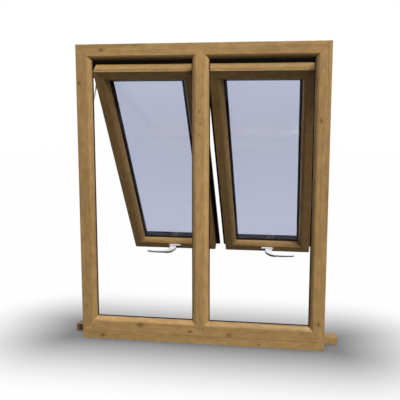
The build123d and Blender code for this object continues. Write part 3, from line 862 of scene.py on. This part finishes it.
class STORMPROOF_OT_drive_screws(bpy.types.Operator):
    """Drive the countersunk screws of the stays, handles, bolt bars and keeps"""

    bl_idname = "stormproof.drive_screws"
    bl_label = "Drive the Screws"

    def execute(self, context):
        settings = context.scene.stormproof_metal
        steel = brushed_steel("Screw Steel", UP, 1.0)
        self.chance = random.Random(11)
        self.radius = settings.screw_radius
        for name, stay, wall, toward in stay_walls():
            low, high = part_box(f"{stay}_track")
            middle = (low.y + high.y) / 2
            rows = [low.z + 0.010, low.z + 0.42 * (high.z - low.z), high.z - 0.012]
            places = [Vector((wall + toward * TRACK_WEB, middle, z)) for z in rows]
            self.drive(f"{stay}_track_screws", places, RIGHT * toward, steel, "fittings")
            face = wall + toward * BAR_FACE
            spots = [SASH_HEIGHT - BAR_TOP - BAR_LENGTH * share for share in BAR_SCREW_SHARES]
            places = [sash_point(name, 0, height, STAY_DEPTH) for height in spots]
            for place in places:
                place.x = face
            self.drive(f"{stay}_bar_screws", places, RIGHT * -toward, steel, "fittings")
        for name in SIDES:
            places = [sash_point(name, x, SPINDLE_HEIGHT, PLATE_FACE) for x in HANDLE_SCREWS]
            self.drive(f"{name}_handle_screws", places, -SASH_OUT, steel, "fittings")
            places = [sash_point(name, x, 0, BOLT_DEPTH) for x in BOLT_SCREWS]
            self.drive(f"{name}_bolt_bar_screws", places, -SASH_UP, steel, "fittings")
        low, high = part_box("keeps")
        middle = (low.y + high.y) / 2 - 0.001
        middles = [side * abs(SPINDLES["left"].x) for side in (-1, 1)]
        centres = [x + spread for x in middles for spread in (-KEEP_SPREAD, KEEP_SPREAD)]
        face = low.z + KEEP_PLATE
        places = [Vector((x + gap, middle, face)) for x in centres for gap in KEEP_SCREWS]
        self.drive("keep_screws", places, UP, steel, "fittings")
        return {"FINISHED"}

    def drive(self, name, places, normal, material, slot):
        builder = bmesh.new()
        for place in places:
            screw_head(builder, place, normal, self.radius, self.chance.uniform(0, math.pi / 2))
        new_piece(name, builder, material, "window", 35)


class STORMPROOF_OT_pin_beads(bpy.types.Operator):
    """Pin the glazing beads"""

    bl_idname = "stormproof.pin_beads"
    bl_label = "Pin the Beads"

    def execute(self, context):
        steel = brushed_steel("Pin Steel", SASH_OUT, 0.6)
        depth = SASH_THICKNESS - 0.0025
        line = (SASH_SIGHT + SASH_REBATE) / 2 - 0.0015
        half = SASH_WIDTH / 2 - line
        for name in SIDES:
            ends = (line, SASH_HEIGHT - line)
            spots = [(across, row) for across in (-0.12, 0, 0.12) for row in ends]
            for step in range(7):
                row = 0.10 + step * (SASH_HEIGHT - 0.20) / 6
                spots += [(-half, row), (half, row)]
            builder = bmesh.new()
            for across, row in spots:
                rivet_head(
                    builder, sash_point(name, across, row, depth), SASH_OUT, PIN_RADIUS, PIN_RISE,
                )
            new_piece(f"{name}_bead_pins", builder, steel, "window", 40)
        return {"FINISHED"}


class STORMPROOF_OT_set_stage(bpy.types.Operator):
    """Lay the pale floor, light the studio and place the camera"""

    bl_idname = "stormproof.set_stage"
    bl_label = "Set the Studio"

    def execute(self, context):
        settings = context.scene.stormproof_studio
        self.lay_floor(settings)
        self.light(settings)
        camera = bpy.data.cameras.new("Studio Camera")
        camera.sensor_width, camera.lens = 36, CAMERA_LENS
        holder = bpy.data.objects.new("Studio Camera", camera)
        holder.location = CAMERA_PLACE
        holder.rotation_euler = (math.pi / 2 - CAMERA_DOWN, 0, CAMERA_LEFT)
        context.scene.collection.objects.link(holder)
        context.scene.camera = holder
        context.scene.view_settings.view_transform = "Standard"
        return {"FINISHED"}

    def lay_floor(self, settings):
        """A pale paper floor, shaded round the sill."""
        builder = bmesh.new()
        bmesh.ops.create_circle(builder, cap_ends=True, segments=96, radius=FLOOR_RADIUS)
        mesh = bpy.data.meshes.new("studio_floor")
        builder.to_mesh(mesh)
        builder.free()
        floor = bpy.data.objects.new("studio_floor", mesh)
        floor.location.z = -FLOOR_DROP
        bpy.context.scene.collection.objects.link(floor)
        paper = Finish("Studio Floor")
        x, y, _ = paper.parts(paper.object_point)
        low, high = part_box("sill")
        near, far = low.y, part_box("left_handle_base")[0].y * 0.2
        aside, along = (
            paper.maths("MAXIMUM", paper.maths("SUBTRACT", paper.maths("ABSOLUTE", way), half), 0.0)
            for way, half in (
                (x, high.x), (paper.maths("SUBTRACT", y, (near + far) / 2), (far - near) / 2),
            )
        )
        away = paper.vector("LENGTH", paper.point(aside, along, 0.0))
        shade = paper.remap(away, -0.27, 0.58)
        contact = paper.add("ShaderNodeAmbientOcclusion", {"Distance": 0.3}, samples=16)
        contact = paper.remap(contact.outputs["AO"], 0.3, 0.75, 0.6, 1.0)
        shade = paper.maths("MULTIPLY", shade, contact)
        tooth = paper.noise(paper.object_point, 300, 2)
        pale = paper.mix(tooth, colour(settings.floor, 0.99), colour(settings.floor))
        paper.set(Base_Color=(0.0, 0.0, 0.0, 1.0), Roughness=0.9, Specular_IOR_Level=0.0)
        paper.set(Emission_Color=pale, Emission_Strength=shade)
        mesh.materials.append(paper.material)
        floor.visible_diffuse = False
        floor.visible_glossy = False

    def light(self, settings):
        """One far main light, two broad lamps that glass doesn't show, and light from all round."""

        def hang(lamp, place, aim):
            holder = bpy.data.objects.new(lamp.name, lamp)
            holder.location = place
            way = Vector(aim) - Vector(place)
            holder.rotation_euler = way.to_track_quat("-Z", "Y").to_euler()
            holder.visible_transmission = False
            bpy.context.scene.collection.objects.link(holder)

        main = bpy.data.lights.new("Main Light", "SUN")
        main.energy, main.angle = settings.key_strength, MAIN_LIGHT_SPREAD
        hang(main, MAIN_LIGHT_PLACE, (0, 0, 0))
        for name, power, place in (
            ("Top Lamp", settings.top_power, TOP_LAMP_PLACE),
            ("Back Lamp", settings.back_power, BACK_LAMP_PLACE),
        ):
            broad = bpy.data.lights.new(name, "AREA")
            broad.shape, broad.size, broad.energy = "DISK", LAMP_SIZE, power
            hang(broad, place, LAMP_AIM)
        world = bpy.data.worlds.new("Studio")
        world.use_nodes = True
        tree = world.node_tree
        tree.nodes.clear()

        def step(kind, *links, **values):
            node = tree.nodes.new(kind)
            for key, value in values.items():
                setattr(node, key, value)
            for socket, value in links:
                if isinstance(value, bpy.types.NodeSocket):
                    tree.links.new(value, node.inputs[socket])
                else:
                    node.inputs[socket].default_value = value
            return node.outputs

        # White behind the window, as the camera sees it directly or through glass
        path = step("ShaderNodeLightPath")
        way = step("ShaderNodeSeparateXYZ", (0, step("ShaderNodeTexCoord")["Generated"]))

        def maths(operation, first, second):
            return step("ShaderNodeMath", (0, first), (1, second), operation=operation)[0]

        outdoors = maths("GREATER_THAN", way["Y"], 0.0)
        through = maths("MULTIPLY", path["Is Transmission Ray"], outdoors)
        seen = maths("MAXIMUM", path["Is Camera Ray"], through)
        low, high = settings.ambient * 0.5, settings.ambient
        heights = ((1, -0.3), (2, 0.6), (3, low), (4, high))
        rise = step("ShaderNodeMapRange", (0, way["Z"]), *heights)[0]
        even = step("ShaderNodeBackground", (0, (1, 1, 1, 1)), (1, rise))[0]
        white = step("ShaderNodeBackground", (0, (1, 1, 1, 1)), (1, 1.0))[0]
        both = step("ShaderNodeMixShader", (0, seen), (1, even), (2, white))[0]
        step("ShaderNodeOutputWorld", (0, both))
        bpy.context.scene.world = world


OPERATORS = (
    STORMPROOF_OT_stain_frame,
    STORMPROOF_OT_stain_sashes,
    STORMPROOF_OT_fit_seals,
    STORMPROOF_OT_glaze,
    STORMPROOF_OT_paint_handles,
    STORMPROOF_OT_finish_stays,
    STORMPROOF_OT_rivet_stays,
    STORMPROOF_OT_drive_screws,
    STORMPROOF_OT_pin_beads,
    STORMPROOF_OT_set_stage,
)
SETTINGS = {
    "stormproof_timber": TimberSettings,
    "stormproof_glass": GlassSettings,
    "stormproof_metal": MetalSettings,
    "stormproof_studio": StudioSettings,
}


class STORMPROOF_PT_window(bpy.types.Panel):
    """The window's sizes, colours and steps"""

    bl_label = "Stormproof Window"
    bl_space_type = "VIEW_3D"
    bl_region_type = "UI"
    bl_category = "Window"

    def draw(self, context):
        for attribute, group in SETTINGS.items():
            settings = getattr(context.scene, attribute)
            for name in group.__annotations__:
                self.layout.prop(settings, name)
        for operator in OPERATORS:
            self.layout.operator(operator.bl_idname)


CLASSES = (*SETTINGS.values(), *OPERATORS, STORMPROOF_PT_window)


def register():
    for item in CLASSES:
        bpy.utils.register_class(item)
    for attribute, group in SETTINGS.items():
        setattr(bpy.types.Scene, attribute, PointerProperty(type=group))


def unregister():
    for attribute in SETTINGS:
        delattr(bpy.types.Scene, attribute)
    for item in reversed(CLASSES):
        bpy.utils.unregister_class(item)


def main():
    register()
    for operator in OPERATORS:
        group, name = operator.bl_idname.split(".")
        getattr(getattr(bpy.ops, group), name)()
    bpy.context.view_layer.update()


if __name__ == "__main__":
    main()
